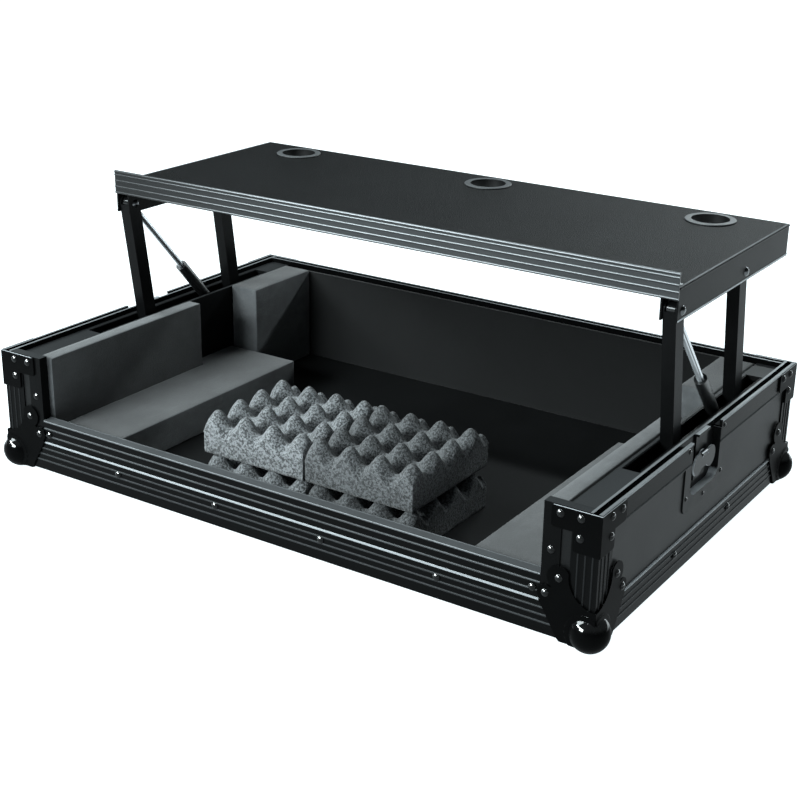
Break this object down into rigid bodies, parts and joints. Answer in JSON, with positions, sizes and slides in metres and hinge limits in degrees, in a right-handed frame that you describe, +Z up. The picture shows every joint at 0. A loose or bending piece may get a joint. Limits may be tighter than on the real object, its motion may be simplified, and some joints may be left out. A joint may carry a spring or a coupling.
{
  "type": "equipment flight case",
  "caption": "Flight case for a desk controller, with foam packing, side latches, ball corners and a laptop shelf on folding arms.",
  "frame": {"origin": "middle of the footprint, on the surface that the ball corners stand on", "axes": "+X to the right along the width, +Y to the rear, +Z up; the low front wall faces -Y"},
  "size_m": [0.826, 0.546, 0.3402],
  "materials": {
    "panel_laminate": "satin",
    "base_board": "satin",
    "rail_black": "satin",
    "corner_gloss": "gloss",
    "rivet_steel": "gloss",
    "lift_steel": "satin",
    "bolt_steel": "satin",
    "foam_block": "matte",
    "lining": "matte",
    "egg_foam": "matte",
    "rod_chrome": "polished",
    "tube_black": "satin",
    "shelf_texture": "matte",
    "grommet_plastic": "satin",
    "latch_black": "gloss",
    "latch_wing_steel": "gloss"
  },
  "bodies": {
    "case": {"base_panel": "base_board", "left_wall": "panel_laminate", "right_wall": "panel_laminate", "rear_wall": "panel_laminate", "front_wall": "panel_laminate", "left_front_post": "panel_laminate", "right_front_post": "panel_laminate", "front_bottom_rail": "rail_black", "rear_bottom_rail": "rail_black", "left_bottom_rail": "rail_black", "right_bottom_rail": "rail_black", "front_sill_rail": "rail_black", "left_top_rail": "rail_black", "right_top_rail": "rail_black", "rear_top_rail": "rail_black", "rim_bridges": "rail_black", "post_trims": "rail_black", "corner_uprights": "rail_black", "corner_braces": "corner_gloss", "front_left_ball_corner": "corner_gloss", "front_right_ball_corner": "corner_gloss", "rear_left_ball_corner": "corner_gloss", "rear_right_ball_corner": "corner_gloss", "rivets": "rivet_steel", "left_ledge": "base_board", "right_ledge": "base_board", "left_lift_bracket": "lift_steel", "right_lift_bracket": "lift_steel", "case_pivot_bolts": "bolt_steel", "left_side_foam": "foam_block", "right_side_foam": "foam_block", "left_floor_foam": "foam_block", "right_floor_foam": "foam_block", "left_corner_foam": "foam_block", "right_corner_foam": "foam_block", "rear_lining": "lining", "lower_left_egg_foam": "egg_foam", "lower_right_egg_foam": "egg_foam", "upper_left_egg_foam": "egg_foam", "upper_right_egg_foam": "egg_foam", "left_latch_dish": "latch_black", "right_latch_dish": "latch_black"},
    "front_arms": {"left_front_arm": "lift_steel", "right_front_arm": "lift_steel"},
    "rear_arms": {"left_rear_arm": "lift_steel", "right_rear_arm": "lift_steel"},
    "shelf": {"shelf_board": "shelf_texture", "shelf_front_rail": "rail_black", "shelf_left_channel": "rail_black", "shelf_right_channel": "rail_black", "cable_grommets": "grommet_plastic", "shelf_pivot_bolts": "bolt_steel"},
    "strut_rods": {"strut_rods": "rod_chrome"},
    "strut_cylinders": {"strut_cylinders": "tube_black"},
    "left_rotor": {"left_latch_rotor": "latch_black"},
    "left_wing": {"left_latch_wing": "latch_wing_steel"},
    "left_hook": {"left_latch_hook": "latch_black"},
    "right_rotor": {"right_latch_rotor": "latch_black"},
    "right_wing": {"right_latch_wing": "latch_wing_steel"},
    "right_hook": {"right_latch_hook": "latch_black"}
  },
  "joints": [
    {"name": "shelf_lift", "type": "hinge", "parent": "case", "child": "front_arms", "pos_m": [0, -0.037, 0.131], "axis": [1, 0, 0], "range_deg": [0, 62]},
    {"name": "shelf_level", "type": "hinge", "parent": "front_arms", "child": "shelf", "pos_m": [0, -0.06038, 0.29736], "axis": [1, 0, 0], "range_deg": [-62, 0]},
    {"name": "rear_arm_swing", "type": "hinge", "parent": "case", "child": "rear_arms", "pos_m": [0, 0.135, 0.131], "axis": [1, 0, 0], "range_deg": [0, 62]},
    {"name": "strut_swing", "type": "hinge", "parent": "front_arms", "child": "strut_rods", "pos_m": [0, -0.06038, 0.29736], "axis": [1, 0, 0], "range_deg": [-30.32, 0]},
    {"name": "strut_slide", "type": "slide", "parent": "strut_rods", "child": "strut_cylinders", "axis": [0, 0.6636, -0.7481], "range_m": [0, 0.057]},
    {"name": "left_latch_turn", "type": "hinge", "parent": "case", "child": "left_rotor", "pos_m": [-0.4, -0.006, 0.118], "axis": [1, 0, 0], "range_deg": [0, 180]},
    {"name": "left_latch_fold", "type": "hinge", "parent": "left_rotor", "child": "left_wing", "pos_m": [-0.3978, -0.006, 0.127], "axis": [0, 1, 0], "range_deg": [0, 80]},
    {"name": "left_hook_rise", "type": "slide", "parent": "case", "child": "left_hook", "axis": [0, 0, 1], "range_m": [0, 0.01]},
    {"name": "right_latch_turn", "type": "hinge", "parent": "case", "child": "right_rotor", "pos_m": [0.4, -0.006, 0.118], "axis": [1, 0, 0], "range_deg": [0, 180]},
    {"name": "right_latch_fold", "type": "hinge", "parent": "right_rotor", "child": "right_wing", "pos_m": [0.3978, -0.006, 0.127], "axis": [0, -1, 0], "range_deg": [0, 80]},
    {"name": "right_hook_rise", "type": "slide", "parent": "case", "child": "right_hook", "axis": [0, 0, 1], "range_m": [0, 0.01]}
  ],
  "couplings": [
    {"joint": "shelf_level", "follows": "shelf_lift", "ratio": -1},
    {"joint": "rear_arm_swing", "follows": "shelf_lift", "ratio": 1},
    {"joint": "strut_swing", "follows": "shelf_lift", "ratio": -0.48825},
    {"joint": "strut_slide", "follows": "shelf_lift", "m_per_rad": 0.052579},
    {"joint": "left_hook_rise", "follows": "left_latch_turn", "m_per_rad": 0.003183},
    {"joint": "right_hook_rise", "follows": "right_latch_turn", "m_per_rad": 0.003183}
  ]
}
